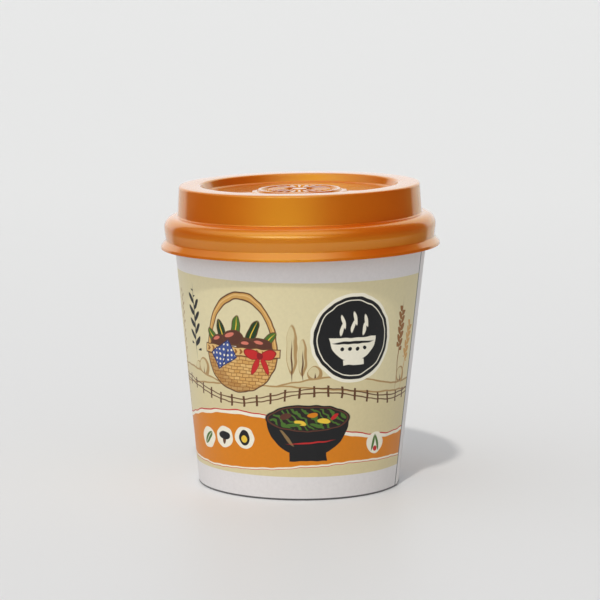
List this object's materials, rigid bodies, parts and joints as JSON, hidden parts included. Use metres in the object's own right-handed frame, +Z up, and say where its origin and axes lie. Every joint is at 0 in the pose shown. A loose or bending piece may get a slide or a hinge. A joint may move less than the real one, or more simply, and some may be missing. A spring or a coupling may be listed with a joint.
{
  "type": "instant soup cup",
  "caption": "Shut paper cup of instant soup: tapered printed wall with a side seam, rolled rim, recessed foot, and a press-on lid with a shallow well.",
  "frame": {"origin": "centre of the cup's foot, on the surface it stands on", "axes": "+Z up along the cup's axis, -Y out of the printed front, +X to the right seen from the front"},
  "size_m": [0.0948, 0.0948, 0.1034],
  "materials": {
    "printed_board": "satin coated board, printed in flat fields of colour",
    "lid_plastic": "pearly golden orange formed sheet"
  },
  "bodies": {
    "root": {"cup": "printed_board", "lid": "lid_plastic"}
  },
  "joints": []
}
